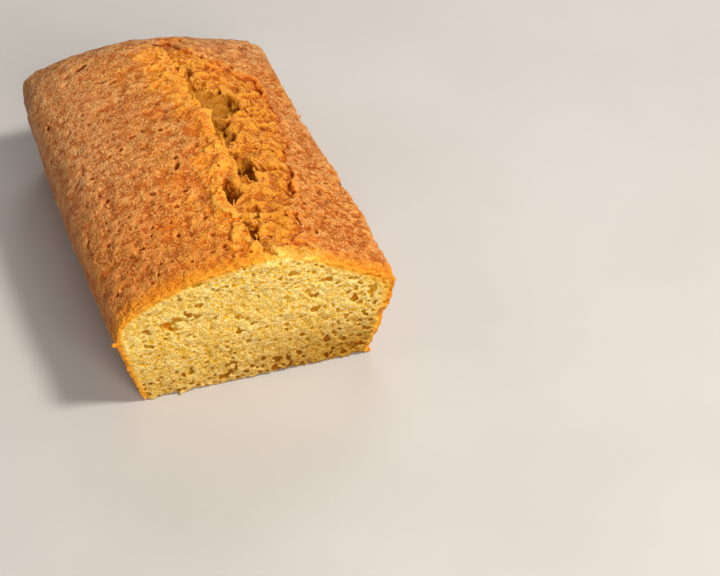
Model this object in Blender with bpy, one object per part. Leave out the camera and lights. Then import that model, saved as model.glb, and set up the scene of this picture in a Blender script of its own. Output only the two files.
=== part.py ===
"""Olive oil loaf cake, with the first slices cut off one end.

One solid: a loaf baked in a tapered tin, domed on top, split along the dome
while it baked, and cut straight across at the near end.
Metres, +Z up. X runs across the loaf, Y along it, and the cut face looks
along -Y. The origin is the middle of the underside.
"""
import math

import bmesh
import bpy
import numpy as np

MM = 0.001

# ---- driving dimensions, in millimetres --------------------------------
CUT_Y = -93.5            # plane of the cut
FAR_Y = 102.0            # rim of the uncut end
RIM_LEFT = 59.4          # half width at the rim, left, at the cut
RIM_LEFT_BULGE = 4.5     # how far the left side bows out halfway along
RIM_RIGHT = 62.8         # half width at the rim, right, at the cut
RIM_RIGHT_IN = 5.5       # how far the right side draws in towards the far end
RIM_CORNER = 8.0         # radius of the far corners at the rim
BASE_HALF = 50.6         # half width of the underside
BASE_DRIFT = -3.0        # how far the underside's middle moves over, cut to far end
BASE_CORNER = 9.0        # radius of the far corners at the base
END_TAPER = 10.5         # how far the far end leans in from rim to base
WALL_BEND = 33.0         # height where the leaning wall turns upright
BASE_ROUND = 2.2         # small rounding where the wall meets the underside

RIM_Z_LEFT = 37.8        # rim heights
RIM_Z_RIGHT_CUT = 39.7
RIM_Z_RIGHT_FAR = 37.9

CROWN_CUT = 62.8         # crown heights along the loaf
CROWN_MIDDLE = 66.0
CROWN_FAR = 62.6
CROWN_SHIFT_CUT = 0.167  # crown's place across, as a share of the half width
CROWN_SHIFT_FAR = -0.207

DOME_P_LEFT = 1.86       # the dome's fullness: (1 - t^p)^q from crown to rim
DOME_Q_LEFT_CUT = 0.52
DOME_Q_LEFT_FAR = 0.345
DOME_P_RIGHT_CUT = 1.43
DOME_P_RIGHT_FAR = 2.10
DOME_Q_RIGHT_CUT = 1.20
DOME_Q_RIGHT_FAR = 0.77
END_RUN = 26.0           # length over which the dome falls to the far rim
END_P = 2.07
END_Q = 0.48

# the split: a jagged groove along the crown, with a torn bed on its right
SPLIT_X = 8.5            # mean line of the groove
SPLIT_MEANDER = 3.0
SPLIT_WAVE = 44.0
SPLIT_FROM, SPLIT_TO = -84.0, 82.0
SPLIT_HALF_WIDTH = 5.0
SPLIT_DEPTH = 6.0
PIT_Y = (-66.0, -45.0, -30.0, -3.0, 24.0)      # deeper holes in the groove
PIT_DEPTH = 4.5
PIT_REACH = 6.5
TORN_WIDTH = 27.0        # torn bed, from the groove to the far lip
TORN_DEPTH = 1.3
LIP_RISE = 0.9           # lips swollen beside the groove

SWELL = 0.35             # slow unevenness of the baked crust

ACROSS = 50              # divisions of the dome across and along
ALONG = 52
WALL_ROWS = (0.0, 0.035, 0.30, 0.62, 0.86, 1.0)  # wall rings, share of rim height

CRUST = (0.53, 0.22, 0.055, 1.0)


def ease(t):
    t = np.clip(t, 0.0, 1.0)
    return t * t * (3.0 - 2.0 * t)


def rim_left(y):
    return -(RIM_LEFT + RIM_LEFT_BULGE * (1.0 - ((y - 30.0) / 125.0) ** 2))


def rim_right(y):
    return RIM_RIGHT - RIM_RIGHT_IN * ease((y + 60.0) / 120.0)


def split_line(y):
    """Place of the groove across the loaf, at y along it."""
    a = 2.0 * math.pi * y / SPLIT_WAVE
    return SPLIT_X + SPLIT_MEANDER * np.sin(a + 0.7) + 0.45 * SPLIT_MEANDER * np.sin(2.3 * a)


def split_drop(x, y):
    """How far the split lowers the dome at (x, y)."""
    ends = ease((y - SPLIT_FROM) / 14.0) * ease((SPLIT_TO - y) / 22.0)
    d = x - split_line(y)
    depth = SPLIT_DEPTH * (0.78 + 0.22 * np.sin(y * 0.31))
    for pit in PIT_Y:
        depth = depth + PIT_DEPTH * np.exp(-((y - pit) / PIT_REACH) ** 2)
    width = SPLIT_HALF_WIDTH * (1.0 + 0.25 * np.sin(y * 0.23 + 1.0))
    groove = depth * np.exp(-(np.abs(d) / width) ** 2.0)
    bed = TORN_DEPTH * ease(d / 5.0) * ease((TORN_WIDTH - d) / 4.0)
    bed = bed * (0.8 + 0.6 * np.sin(0.41 * x + 0.17 * y) * np.sin(0.33 * y))
    lips = LIP_RISE * np.exp(-((np.abs(d) - 1.9 * width) / 3.2) ** 2)
    return ends * (groove + bed - lips)


def swell(x, y):
    return SWELL * (np.sin(0.085 * x + 0.031 * y) + 0.8 * np.sin(0.073 * y - 0.044 * x + 1.3)
                    + 0.5 * np.sin(0.13 * x + 0.151 * y + 1.2 * np.sin(0.06 * y - 0.09 * x)))


def round_corner(x, y, left, right, far, r):
    """Turn the square far corners of a plan into quarter circles."""
    yc = far - r
    xc = np.where(x < 0, left + r, right - r)
    side = np.where(x < 0, -1.0, 1.0)
    dx, dy = (x - xc) * side, y - yc
    inside = (dx > 0) & (dy > 0)
    k = np.where(inside, np.maximum(dx, dy) / (np.hypot(dx, dy) + 1e-9), 1.0)
    return (np.where(inside, xc + side * dx * k, x), np.where(inside, yc + dy * k, y))


def dome(u, v):
    """Point of the top surface. u: -1 left rim to 1 right rim. v: 0 cut to 1 far rim."""
    y = CUT_Y + (FAR_Y - CUT_Y) * v
    left, right = rim_left(y), rim_right(y)
    x = np.where(u < 0, -u * left, u * right)
    w = ease((u + 1.0) / 2.0)
    rim = RIM_Z_LEFT * (1.0 - w) + (RIM_Z_RIGHT_CUT + (RIM_Z_RIGHT_FAR - RIM_Z_RIGHT_CUT) * v) * w
    crown = np.where(v < 0.45,
                     CROWN_CUT + (CROWN_MIDDLE - CROWN_CUT) * ease(v / 0.45),
                     CROWN_MIDDLE + (CROWN_FAR - CROWN_MIDDLE) * ease((v - 0.45) / 0.55))
    s = CROWN_SHIFT_CUT + (CROWN_SHIFT_FAR - CROWN_SHIFT_CUT) * ease(v)
    on_left = u < s
    t = np.clip(np.where(on_left, (s - u) / (1.0 + s), (u - s) / (1.0 - s)), 0.0, 1.0)
    p = np.where(on_left, DOME_P_LEFT, DOME_P_RIGHT_CUT + (DOME_P_RIGHT_FAR - DOME_P_RIGHT_CUT) * v)
    q = np.where(on_left, DOME_Q_LEFT_CUT + (DOME_Q_LEFT_FAR - DOME_Q_LEFT_CUT) * v,
                 DOME_Q_RIGHT_CUT + (DOME_Q_RIGHT_FAR - DOME_Q_RIGHT_CUT) * v)
    across = (1.0 - t ** p) ** q
    b = np.clip(1.0 - (FAR_Y - y) / END_RUN, 0.0, 1.0)
    along = (1.0 - b ** END_P) ** END_Q
    inner = np.clip(across * along * 1.6, 0.0, 1.0)     # nothing moves at the rim itself
    z = rim + (crown - rim) * across * along
    z = z + inner * (swell(x, y) - split_drop(x, y))
    x, y = round_corner(x, y, left, right, FAR_Y, RIM_CORNER)
    return x, y, z


def base(u, v):
    """Point of the base outline with the same u, v as the rim above it."""
    far = FAR_Y - END_TAPER
    y = CUT_Y + (far - CUT_Y) * v
    x = u * BASE_HALF
    left, right = -BASE_HALF + 0.0 * y, BASE_HALF + 0.0 * y
    x, y = round_corner(x, y, left, right, far, BASE_CORNER)
    return x, y, BASE_DRIFT * v


def grid_lines():
    """Grid lines across and along: close at the rims and over the split."""
    t = np.linspace(-1.0, 1.0, ACROSS + 1)
    u = 0.45 * np.sin(t * math.pi / 2.0) + 0.55 * t
    centre = SPLIT_X / 60.0
    u = u - 0.11 * np.sin(math.pi * np.clip((u - centre) / 0.55, -1.0, 1.0)) * (1.0 - np.abs(t) ** 6)
    t = np.linspace(0.0, 1.0, ALONG + 1)
    v = 0.30 * np.sin(t * math.pi / 2.0) + 0.70 * t
    return np.sort(u), v


def loaf_mesh():
    u, v = grid_lines()
    uu, vv = np.meshgrid(u, v, indexing="ij")
    x, y, z = dome(uu, vv)
    # whole millimetres of the design are kept relative to the cut; the box is centred last
    top = np.stack([x, y, z], axis=-1)

    # the rim's indices, anticlockwise from the left end of the cut
    nx, ny = ACROSS, ALONG
    ring = ([(i, 0) for i in range(nx)] + [(nx, j) for j in range(ny)]
            + [(i, ny) for i in range(nx, 0, -1)] + [(0, j) for j in range(ny, 0, -1)])
    rim = np.array([top[i, j] for i, j in ring])
    bx, by, drift = base(np.array([u[i] for i, _ in ring]), np.array([v[j] for _, j in ring]))
    on_cut = np.array([j == 0 for _, j in ring])
    corner_z = np.where(rim[:, 0] < 0, RIM_Z_LEFT, RIM_Z_RIGHT_CUT)

    rings = []
    for share in WALL_ROWS[:-1]:
        zz = rim[:, 2] * share
        # the wall leans out from the base and turns upright near the rim
        lean = np.clip(corner_z * share / WALL_BEND, 0.0, 1.0)
        lean = lean + 0.16 * lean * (1.0 - lean)
        px = bx + drift + (rim[:, 0] - bx - drift) * lean
        py = np.where(on_cut, CUT_Y, by + (rim[:, 1] - by) * lean)
        if share == 0.0:
            # the underside's edge is slightly rounded, except along the cut
            px = px - np.sign(bx) * BASE_ROUND * np.clip((np.abs(bx) - BASE_HALF + 12.0) / 12.0, 0.0, 1.0)
            py = np.where(on_cut, CUT_Y, py - BASE_ROUND * np.clip((py - FAR_Y + END_TAPER + 12.0) / 12.0, 0.0, 1.0))
        rings.append(np.stack([px, py, zz], axis=-1))

    points = [top.reshape(-1, 3)] + rings
    every = np.concatenate(points)
    low, high = every.min(axis=0), every.max(axis=0)
    every[:, 0] -= 0.5 * (low[0] + high[0])
    every[:, 1] -= 0.5 * (low[1] + high[1])

    bm = bmesh.new()
    verts = [bm.verts.new(p * MM) for p in every]
    at = lambda i, j: verts[i * (ny + 1) + j]
    for i in range(nx):
        for j in range(ny):
            bm.faces.new((at(i, j), at(i + 1, j), at(i + 1, j + 1), at(i, j + 1)))
    n = len(ring)
    first = (nx + 1) * (ny + 1)
    loops = [[verts[first + r * n + k] for k in range(n)] for r in range(len(rings))]
    loops.append([at(i, j) for i, j in ring])
    for lower, upper in zip(loops[:-1], loops[1:]):
        for k in range(n):
            m = (k + 1) % n
            bm.faces.new((lower[k], lower[m], upper[m], upper[k]))
    bm.faces.new(loops[0][::-1])
    bmesh.ops.recalc_face_normals(bm, faces=bm.faces)
    mesh = bpy.data.meshes.new("loaf")
    bm.to_mesh(mesh)
    bm.free()
    return mesh


def crust_material():
    mat = bpy.data.materials.new("crust")
    mat.use_nodes = True
    shader = mat.node_tree.nodes["Principled BSDF"]
    shader.inputs["Base Color"].default_value = CRUST
    shader.inputs["Roughness"].default_value = 0.7
    shader.inputs["Metallic"].default_value = 0.0
    return mat


def main():
    for old in list(bpy.data.objects):
        bpy.data.objects.remove(old, do_unlink=True)
    mesh = loaf_mesh()
    mesh.materials.append(crust_material())
    loaf = bpy.data.objects.new("loaf", mesh)
    bpy.context.scene.collection.objects.link(loaf)
    mesh.shade_smooth()
    mesh.set_sharp_from_angle(angle=math.radians(40.0))


main()
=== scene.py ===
import math

import bpy
import numpy as np
from mathutils import Matrix, Vector


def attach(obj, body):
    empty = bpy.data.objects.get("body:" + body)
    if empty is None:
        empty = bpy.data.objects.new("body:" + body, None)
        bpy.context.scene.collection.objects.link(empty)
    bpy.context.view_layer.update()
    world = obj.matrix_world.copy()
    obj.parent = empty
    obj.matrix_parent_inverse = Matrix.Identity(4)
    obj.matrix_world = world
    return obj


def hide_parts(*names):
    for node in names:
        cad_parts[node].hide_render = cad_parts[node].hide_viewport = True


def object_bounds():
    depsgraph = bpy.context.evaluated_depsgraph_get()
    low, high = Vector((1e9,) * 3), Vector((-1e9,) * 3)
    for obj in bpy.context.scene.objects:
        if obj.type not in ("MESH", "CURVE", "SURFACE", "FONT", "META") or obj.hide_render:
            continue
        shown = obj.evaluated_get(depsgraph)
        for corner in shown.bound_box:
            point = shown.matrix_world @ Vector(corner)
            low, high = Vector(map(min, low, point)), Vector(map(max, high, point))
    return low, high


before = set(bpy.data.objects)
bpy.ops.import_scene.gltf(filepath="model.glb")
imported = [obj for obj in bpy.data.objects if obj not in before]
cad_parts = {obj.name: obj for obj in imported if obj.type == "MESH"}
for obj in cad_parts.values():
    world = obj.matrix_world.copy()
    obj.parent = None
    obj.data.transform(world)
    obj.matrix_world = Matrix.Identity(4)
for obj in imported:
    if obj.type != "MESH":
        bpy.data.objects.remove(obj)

CAD_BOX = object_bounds()
MM = 0.001

# =====================================================================
# 1. The loaf's plain shape, in millimetres, as the frame has it
# =====================================================================
CUT_Y = -93.5
FAR_Y = 102.0
RIM_LEFT, RIM_LEFT_BULGE = 59.4, 4.5
RIM_RIGHT, RIM_RIGHT_IN = 62.8, 5.5
RIM_CORNER, BASE_CORNER = 8.0, 9.0
BASE_HALF, BASE_DRIFT = 50.6, -3.0
END_TAPER = 10.5
WALL_BEND = 33.0
RIM_Z_LEFT, RIM_Z_RIGHT_CUT, RIM_Z_RIGHT_FAR = 37.8, 39.7, 37.9
CROWN_CUT, CROWN_MIDDLE, CROWN_FAR = 62.8, 66.0, 62.6
CROWN_SHIFT_CUT, CROWN_SHIFT_FAR = 0.167, -0.207
DOME_P_LEFT, DOME_Q_LEFT_CUT, DOME_Q_LEFT_FAR = 1.86, 0.52, 0.345
DOME_P_RIGHT_CUT, DOME_P_RIGHT_FAR = 1.43, 2.10
DOME_Q_RIGHT_CUT, DOME_Q_RIGHT_FAR = 1.20, 0.77
END_RUN, END_P, END_Q = 26.0, 2.07, 0.48
SWELL = 0.35

F = np.float32


def ease(t):
    t = np.clip(t, 0.0, 1.0)
    return t * t * (3.0 - 2.0 * t)


def step(a, b, x):
    return ease((x - a) / (b - a))


def rim_left(y):
    return -(RIM_LEFT + RIM_LEFT_BULGE * (1.0 - ((y - 30.0) / 125.0) ** 2))


def rim_right(y):
    return RIM_RIGHT - RIM_RIGHT_IN * ease((y + 60.0) / 120.0)


def swell(x, y):
    return SWELL * (np.sin(0.085 * x + 0.031 * y) + 0.8 * np.sin(0.073 * y - 0.044 * x + 1.3)
                    + 0.5 * np.sin(0.13 * x + 0.151 * y + 1.2 * np.sin(0.06 * y - 0.09 * x)))


def dome_height(x, y):
    """Height of the whole, unsplit dome over the plan point (x, y)."""
    left, right = rim_left(y), rim_right(y)
    # undo the rounding of the far corners
    yc = FAR_Y - RIM_CORNER
    xc = np.where(x < 0, left + RIM_CORNER, right - RIM_CORNER)
    side = np.where(x < 0, -1.0, 1.0)
    dx, dy = (x - xc) * side, y - yc
    inside = (dx > 0) & (dy > 0)
    k = np.where(inside, np.hypot(dx, dy) / (np.maximum(np.maximum(dx, dy), 1e-6)), 1.0)
    x = np.where(inside, xc + side * dx * k, x)
    y = np.where(inside, yc + dy * k, y)
    u = np.clip(np.where(x < 0, -x / left, x / right), -1.0, 1.0)
    v = np.clip((y - CUT_Y) / (FAR_Y - CUT_Y), 0.0, 1.0)
    w = ease((u + 1.0) / 2.0)
    rim = RIM_Z_LEFT * (1.0 - w) + (RIM_Z_RIGHT_CUT + (RIM_Z_RIGHT_FAR - RIM_Z_RIGHT_CUT) * v) * w
    crown = np.where(v < 0.45,
                     CROWN_CUT + (CROWN_MIDDLE - CROWN_CUT) * ease(v / 0.45),
                     CROWN_MIDDLE + (CROWN_FAR - CROWN_MIDDLE) * ease((v - 0.45) / 0.55))
    s = CROWN_SHIFT_CUT + (CROWN_SHIFT_FAR - CROWN_SHIFT_CUT) * ease(v)
    on_left = u < s
    t = np.clip(np.where(on_left, (s - u) / (1.0 + s), (u - s) / (1.0 - s)), 0.0, 1.0)
    p = np.where(on_left, DOME_P_LEFT, DOME_P_RIGHT_CUT + (DOME_P_RIGHT_FAR - DOME_P_RIGHT_CUT) * v)
    q = np.where(on_left, DOME_Q_LEFT_CUT + (DOME_Q_LEFT_FAR - DOME_Q_LEFT_CUT) * v,
                 DOME_Q_RIGHT_CUT + (DOME_Q_RIGHT_FAR - DOME_Q_RIGHT_CUT) * v)
    across = (1.0 - t ** p) ** q
    b = np.clip(1.0 - (FAR_Y - y) / END_RUN, 0.0, 1.0)
    along = (1.0 - b ** END_P) ** END_Q
    inner = np.clip(across * along * 1.6, 0.0, 1.0)
    return rim + (crown - rim) * across * along + inner * swell(x, y)


# =====================================================================
# 2. A grid of distances, and what changes it
# =====================================================================
COARSE = 1.0


def run(a, b, h):
    n = max(2, int(round((b - a) / (h * COARSE))) + 1)
    return np.linspace(a, b, n)


gx = run(-66.6, 65.4, 0.45).astype(F)
gy = np.concatenate([run(-95.9, -88.0, 0.34)[:-1], run(-88.0, 103.8, 0.50)]).astype(F)
gz = run(-1.1, 69.6, 0.44).astype(F)
X, Y, Z = gx[:, None, None], gy[None, :, None], gz[None, None, :]
SHAPE = (len(gx), len(gy), len(gz))


def weights(g, period):
    """Cubic spline weights of a lattice of the given period at the points g."""
    t = (g.astype(np.float64) - float(g[0])) / period + 1.37
    i = np.floor(t).astype(int)
    f = t - i
    n = i.max() + 4
    w = np.zeros((len(g), n))
    rows = np.arange(len(g))
    for k, part in enumerate(((1 - f) ** 3 / 6, (3 * f ** 3 - 6 * f ** 2 + 4) / 6,
                              (-3 * f ** 3 + 3 * f ** 2 + 3 * f + 1) / 6, f ** 3 / 6)):
        w[rows, i - 1 + k] += part
    return w.astype(F)


def noise(period, seed, squash=(1.0, 1.0, 1.0)):
    """Smooth noise over the whole grid, spread about 1."""
    rng = np.random.default_rng(seed)
    wx, wy, wz = (weights(g, period * s) for g, s in zip((gx, gy, gz), squash))
    a = rng.standard_normal((wx.shape[1], wy.shape[1], wz.shape[1])).astype(F)
    a = a @ wz.T
    a = np.einsum("ijk,bj->ibk", a, wy, optimize=True)
    a = (wx @ a.reshape(a.shape[0], -1)).reshape(SHAPE)
    a *= F(1.0 / 0.34)
    return a


def noise2(period, seed, gain=1.0):
    """Smooth noise over the plan."""
    rng = np.random.default_rng(seed)
    wx, wy = weights(gx, period), weights(gy, period)
    a = rng.standard_normal((wx.shape[1], wy.shape[1])).astype(F)
    return (wx @ a @ wy.T) * F(gain / 0.48)


def smax(a, b, k):
    """Larger of two fields, rounded over about k."""
    h = np.clip(0.5 + 0.5 * (a - b) / k, 0.0, 1.0)
    return b + (a - b) * h + k * h * (1.0 - h)


# ---- plan fields: dome, torn zone, crack -----------------------------------
px, py = np.meshgrid(gx.astype(np.float64), gy.astype(np.float64), indexing="ij")
whole = dome_height(px, py)


def along(points, y):
    """Value at y of a broken line given as (y, value) pairs, far end last."""
    p = sorted(points)
    return np.interp(y, [a for a, _ in p], [b for _, b in p])


def inside_by(points, x, y):
    """How far (x, y) lies inside a closed outline, below 0 outside it."""
    near, odd = np.full(x.shape, 1e9), np.zeros(x.shape, bool)
    for (ax, ay), (bx, by) in zip(points, points[1:] + points[:1]):
        dx, dy = bx - ax, by - ay
        t = np.clip(((x - ax) * dx + (y - ay) * dy) / (dx * dx + dy * dy), 0.0, 1.0)
        near = np.minimum(near, np.hypot(x - ax - t * dx, y - ay - t * dy))
        odd ^= ((ay > y) != (by > y)) & (x < ax + (y - ay) * dx / (dy if dy else 1e-9))
    return np.where(odd, near, -near)


def off_line(points, x, y):
    """Distance to an open broken line."""
    near = np.full(x.shape, 1e9)
    for (ax, ay), (bx, by) in zip(points, points[1:]):
        dx, dy = bx - ax, by - ay
        t = np.clip(((x - ax) * dx + (y - ay) * dy) / (dx * dx + dy * dy), 0.0, 1.0)
        near = np.minimum(near, np.hypot(x - ax - t * dx, y - ay - t * dy))
    return near


# the open parts of the crack: outline, depth, width of its sides
OPENINGS = (
    (((2.5, 66.7), (6.8, 59.9), (7.9, 49.9), (6.2, 35.5), (5.1, 23.0), (9.6, 15.6), (12.6, 11.8), (20.7, 12.8), (27.5, 22.2),
      (29.1, 34.0), (24.2, 39.5), (16.8, 44.0), (12.2, 49.9), (11.8, 57.7), (19.4, 62.5), (16.7, 65.4), (8.3, 66.4)), 5.6, 4.2),
    (((5.4, 40.0), (5.1, 22.0), (9.6, 14.6), (14.0, 12.8), (14.5, 20.0), (11.0, 30.0), (9.5, 40.0)), 7.4, 3.2),
    (((11.6, 14.8), (20.1, 11.7), (17.2, -2.5), (9.9, -14.0), (8.9, -4.9)), 7.6, 2.9),
    (((9.5, -11.5), (14.1, -16.4), (18.9, -15.5), (21.4, -23.8), (18.4, -38.9), (12.8, -38.5), (10.0, -31.6), (9.6, -26.3)), 8.6, 3.0),
    (((3.9, -34.7), (9.0, -42.9), (7.6, -48.1), (2.0, -55.8), (0.8, -46.9)), 8.6, 2.2),
    (((7.9, -55.6), (13.3, -54.4), (14.9, -60.2), (12.9, -66.6), (7.5, -64.0), (5.9, -61.7)), 3.6, 2.6),
    (((7.0, -64.0), (3.9, -64.7), (2.6, -72.4), (5.9, -73.6), (8.2, -68.0)), 5.0, 2.0),
)
# folds of the torn bed: line, height (below 0 a crevice), half width
FOLDS = (
    (((11.5, 49.3), (22.1, 52.2), (30.8, 45.6), (33.4, 38.3), (41.2, 43.8)), 1.7, 2.2),
    (((13.0, 59.6), (19.0, 61.4), (22.5, 60.2)), -1.6, 1.1),
    (((26.8, 14.0), (32.4, 11.6), (39.4, 8.8)), -2.4, 1.0), (((25.5, 17.5), (33.0, 15.0), (39.0, 13.5)), 1.1, 1.7),
    (((24.8, -8.4), (29.0, -12.0), (34.2, -20.1)), -1.3, 0.9), (((21.5, -1.0), (27.0, -7.0), (33.0, -13.5)), 0.9, 1.8),
    (((23.0, 30.0), (27.5, 27.0), (30.0, 21.0)), -1.8, 1.1), (((30.0, 30.0), (35.0, 24.0), (36.0, 16.0)), 0.8, 1.7),
    (((18.8, -40.5), (22.0, -47.0), (20.0, -55.0)), -0.9, 0.8), (((9.0, -42.9), (16.3, -41.1), (21.2, -45.4)), 1.2, 1.7),
    (((5.9, -72.4), (6.7, -81.5), (10.7, -88.2), (11.5, -90.5)), -1.5, 0.8), (((10.7, -84.0), (17.0, -79.0)), -1.0, 0.8),
    (((16.5, -66.0), (21.0, -71.0), (27.0, -74.0)), -0.8, 0.9), (((24.0, -22.0), (26.5, -31.0), (24.5, -38.0)), -0.9, 0.9),
    (((-1.5, 58.0), (1.5, 46.0), (0.5, 34.0)), 0.9, 2.4), (((3.0, 12.0), (5.5, 0.0), (5.0, -14.0)), 0.8, 2.2),
    (((5.5, -22.0), (3.6, -30.0)), 0.8, 2.0), (((-3.8, -40.0), (-3.2, -52.0), (0.0, -60.0)), 0.8, 1.9),
    (((-2.0, 66.0), (1.0, 74.0), (6.0, 80.0)), -0.9, 1.0), (((3.0, 72.5), (10.0, 74.0), (16.0, 71.0)), 0.7, 1.6),
)
# where the crust ends on each side of the split
LEFT_EDGE = ((-94, -4.0), (-86, -4.5), (-69, -8.8), (-51, -7.0), (-34, -3.5), (-19, -7.9), (-8, -1.2), (7, -3.2), (24, -7.2),
             (39, -8.8), (63, -8.8), (70, -11.5), (84, -8.0))
RIGHT_EDGE = ((-94, 34.0), (-85, 31.0), (-79, 26.3), (-62, 27.5), (-40, 33.4), (-22, 37.0), (-2.5, 40.1), (14.6, 42.3),
              (40, 44.7), (50, 43.0), (58, 35.0), (66, 25.0), (74, 14.0), (84, 4.0))
RUST = ((1.0, 14.0, 6.0), (-2.0, 2.0, 4.5), (3.0, -39.0, 3.5), (-13.0, 22.0, 6.0), (24.0, 57.0, 8.0), (38.0, 30.0, 4.0), (36.0, 6.0, 3.5),
        (30.5, -43.5, 3.2), (27.5, -64.0, 3.0), (31.5, -78.0, 3.5), (-14.0, -30.0, 6.0), (-26.0, -56.0, 7.0), (8.5, 84.0, 7.0))
# golden places left of the split: x, y, radius, share
GOLD = ((-19.0, -30.0, 9.0, 0.50), (-15.0, -46.0, 10.0, 0.60), (-24.0, -62.0, 9.0, 0.45), (-12.0, -72.0, 10.0, 0.55), (-21.0, -8.0, 7.0, 0.35),
        (-17.0, 58.0, 8.0, 0.50), (-26.0, -80.0, 8.0, 0.35), (-38.0, 4.0, 6.0, 0.25))

wob = noise2(7.0, 11), noise2(3.1, 12), noise2(1.5, 13)
wx_ = px + 0.9 * wob[0] + 0.55 * wob[1] + 0.12 * wob[2]
wob_y = noise2(6.0, 14), noise2(2.8, 15), noise2(1.5, 20)
wy_ = py + 1.0 * wob_y[0] + 0.6 * wob_y[1] + 0.1 * wob_y[2]
edge_l = along(LEFT_EDGE, py) + 1.6 * noise2(6.0, 16) + 1.0 * noise2(2.6, 17)
edge_r = along(RIGHT_EDGE, py) + 1.3 * noise2(6.0, 18) + 0.8 * noise2(2.6, 19)
ends = step(88.0, 74.0, py)

opened, gape = np.zeros(px.shape), np.full(px.shape, -1e9)
for outline, deep, sides in OPENINGS:
    d = inside_by(outline, wx_, wy_)
    # the left side of the crack is steep, the right one slopes
    d_left = inside_by(outline, wx_ - 1.2, wy_)
    lean_ = np.clip((d_left - d) / 1.2, -1.0, 1.0)
    steep = 1.0 + 0.65 * np.clip(-lean_, 0.0, 1.0) - 0.25 * np.clip(lean_, 0.0, 1.0)
    opened = np.maximum(opened, deep * ease((d * steep + 0.3) / sides) ** 0.9)
    gape = np.maximum(gape, d)
lip = along(((-94, 9.0), (-81, 5.5), (-72, 2.6), (-64, 4.0), (-56, 1.4), (-47, 0.9), (-35, 3.8), (-26, 9.6), (-13, 9.3),
             (-5, 9.2), (12, 12.0), (16, 9.4), (23, 5.1), (35, 6.2), (50, 7.6), (60, 6.6), (67, 2.5), (84, 0.0)), wy_)
s = wx_ - lip                                  # right of the lip is positive
bed = step(-0.4, 1.4, s) * step(0.4, -1.2, px - edge_r) * ends   # the torn slope right of the crack
folded = np.zeros(px.shape)
for line, high, half in FOLDS:
    folded += high * np.exp(-(off_line(line, wx_, wy_) / half) ** 2)
n2a, n2b = noise2(7.5, 21), noise2(4.0, 22)
drop = opened * (1.0 + 0.10 * n2b) - folded * ends + bed * (1.25 + 0.70 * n2a + 0.55 * n2b)
# the crust's edge stands a little proud of the torn bed on the right, with a crease under it
drop = drop + 0.55 * np.exp(-((px - edge_r + 0.9) / 1.2) ** 2) * ends * step(-90, -80, py)
# the lips beside the crack are swollen
swollen = 0.9 * np.exp(-((gape + 3.0) / 3.2) ** 2) * step(3.0, -3.0, s) * ends
swollen = swollen + 0.55 * np.exp(-((px - edge_r - 2.6) / 2.6) ** 2) * ends
# looks: torn crumb of the crack's floor, warm zone, red-brown parts
torn = step(-0.3, 2.6, gape) * ends
warm = step(-6.5, 6.0, px - edge_l) * step(1.2, -1.8, px - edge_r) * step(88.0, 70.0, py)
warm_look = warm.copy()
rust = 0.9 * np.exp(-((px - edge_r + 0.2) / 2.0) ** 2) * step(82.0, 66.0, py) * np.clip(0.75 + 0.35 * n2a, 0.2, 1.2)
for x, y, r, much in GOLD:
    warm_look = np.maximum(warm_look, much * np.exp(-((px - x) ** 2 + (py - y) ** 2) / r ** 2))
for x, y, r in RUST:
    rust = np.maximum(rust, 0.85 * np.exp(-((px - x) ** 2 + (py - y) ** 2) / r ** 2))

height = whole - drop + swollen
gxx, gyy = np.gradient(height, gx.astype(np.float64), gy.astype(np.float64))
slope = 1.0 / np.sqrt(1.0 + np.minimum(gxx ** 2 + gyy ** 2, 36.0))
wxx, wyy = np.gradient(whole, gx.astype(np.float64), gy.astype(np.float64))
wslope = 1.0 / np.sqrt(1.0 + np.minimum(wxx ** 2 + wyy ** 2, 36.0))

# ---- solid fields ---------------------------------------------------------
top = (Z - height.astype(F)[:, :, None]) * slope.astype(F)[:, :, None]
top0 = (Z - whole.astype(F)[:, :, None]) * wslope.astype(F)[:, :, None]

lean = np.clip(gz / WALL_BEND, 0.0, 1.0)
lean = (lean + 0.16 * lean * (1.0 - lean)).astype(F)[None, None, :]
v_ = np.clip((gy - CUT_Y) / (FAR_Y - CUT_Y), 0.0, 1.0)
bl = (-BASE_HALF + BASE_DRIFT * v_).astype(F)[None, :, None]
br = (BASE_HALF + BASE_DRIFT * v_).astype(F)[None, :, None]
rl = rim_left(gy).astype(F)[None, :, None]
rr = rim_right(gy).astype(F)[None, :, None]
xl = bl + (rl - bl) * lean
xr = br + (rr - br) * lean
far = (FAR_Y - END_TAPER + END_TAPER * lean).astype(F)
rad = (BASE_CORNER + (RIM_CORNER - BASE_CORNER) * lean).astype(F)
qx = np.maximum(xl - X, X - xr) + rad
qy = (Y - far) + rad
walls = np.minimum(np.maximum(qx, qy), 0.0) + np.hypot(np.maximum(qx, 0.0), np.maximum(qy, 0.0)) - rad
walls *= F(0.965)
del qx, qy
under = (-Z + 0.0 * X + 0.0 * Y).astype(F)

# the baked skin: everything but the cut and the underside
skin0 = np.maximum(top0, walls)
del top0

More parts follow.
